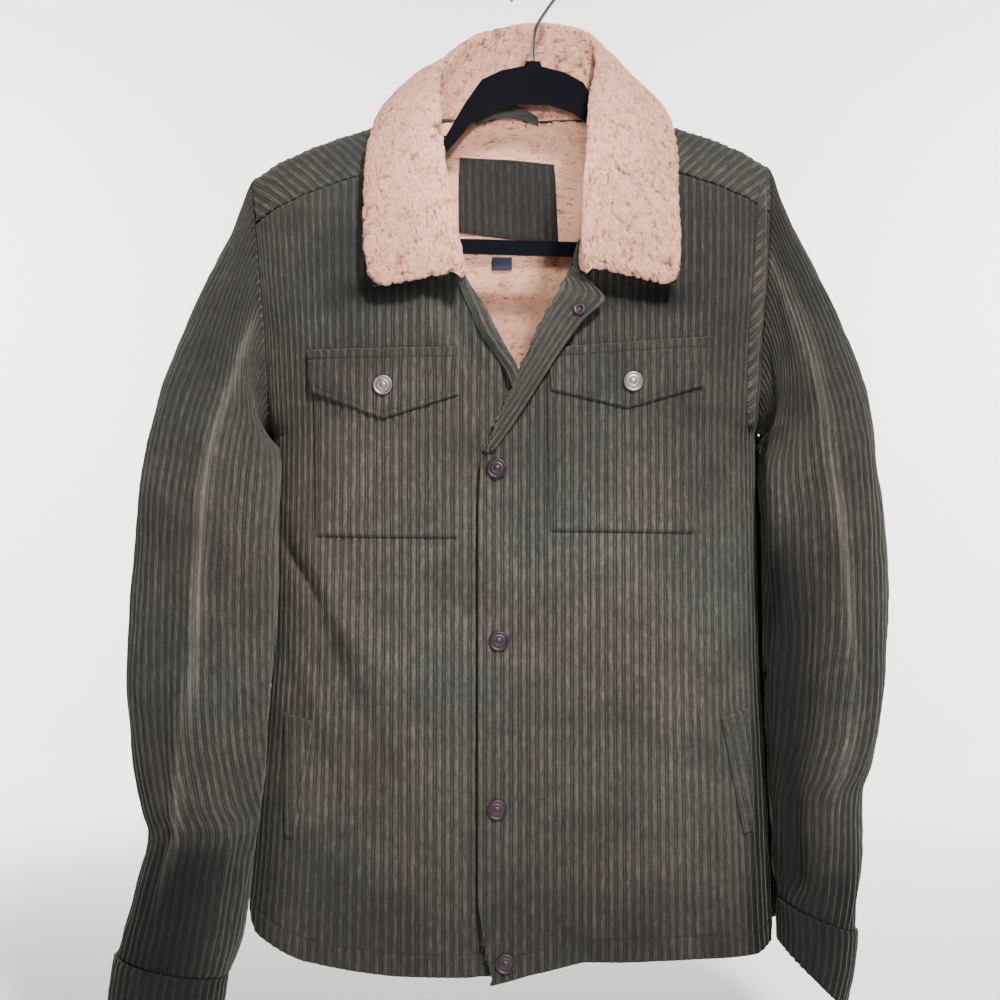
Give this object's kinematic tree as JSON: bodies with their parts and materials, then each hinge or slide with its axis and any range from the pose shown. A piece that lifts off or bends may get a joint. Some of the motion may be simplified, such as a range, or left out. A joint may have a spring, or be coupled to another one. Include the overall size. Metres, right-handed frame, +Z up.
{
  "type": "sherpa lined corduroy shirt jacket on a flocked hanger",
  "caption": "Wide wale corduroy shirt jacket with a sherpa collar and lining, snap front, flap chest pockets and slanted hand pockets, hung on a flocked hanger with a wire hook.",
  "frame": {"origin": "inner top of the hanger's hook, where the rod carries it", "axes": "+X to the wearer's left, +Y to the back of the jacket, +Z up; the front faces -Y"},
  "size_m": [0.6793, 0.2018, 0.9339],
  "materials": {
    "corduroy": "wide wale cotton corduroy, garment washed olive brown",
    "sherpa": "curly cream sherpa fleece",
    "twill": "woven tape",
    "label": "woven satin label, blank",
    "metal": "antique nickel",
    "flock": "black flock on plastic",
    "chrome": "polished"
  },
  "bodies": {
    "root": {"front_right": "corduroy", "front_left": "corduroy", "back": "corduroy", "yoke": "corduroy", "lining_yoke": "sherpa", "lining_back": "sherpa", "lining_front_right": "sherpa", "lining_front_left": "sherpa", "neck_patch": "corduroy", "size_label": "label", "hanger_loop": "twill", "sleeve_right": "corduroy", "sleeve_left": "corduroy", "cuff_right": "corduroy", "cuff_left": "corduroy", "collar": "sherpa", "undercollar": "corduroy", "pocket_right": "corduroy", "flap_right": "corduroy", "welt_right": "corduroy", "snap_flap_right": "metal", "pocket_left": "corduroy", "flap_left": "corduroy", "welt_left": "corduroy", "snap_flap_left": "metal", "snap_placket_1": "metal", "snap_placket_2": "metal", "snap_placket_3": "metal", "snap_placket_4": "metal", "front_facing_turned": "corduroy", "snap_socket_turned": "metal", "hanger_frame": "flock", "hanger_hook": "chrome"}
  },
  "joints": []
}
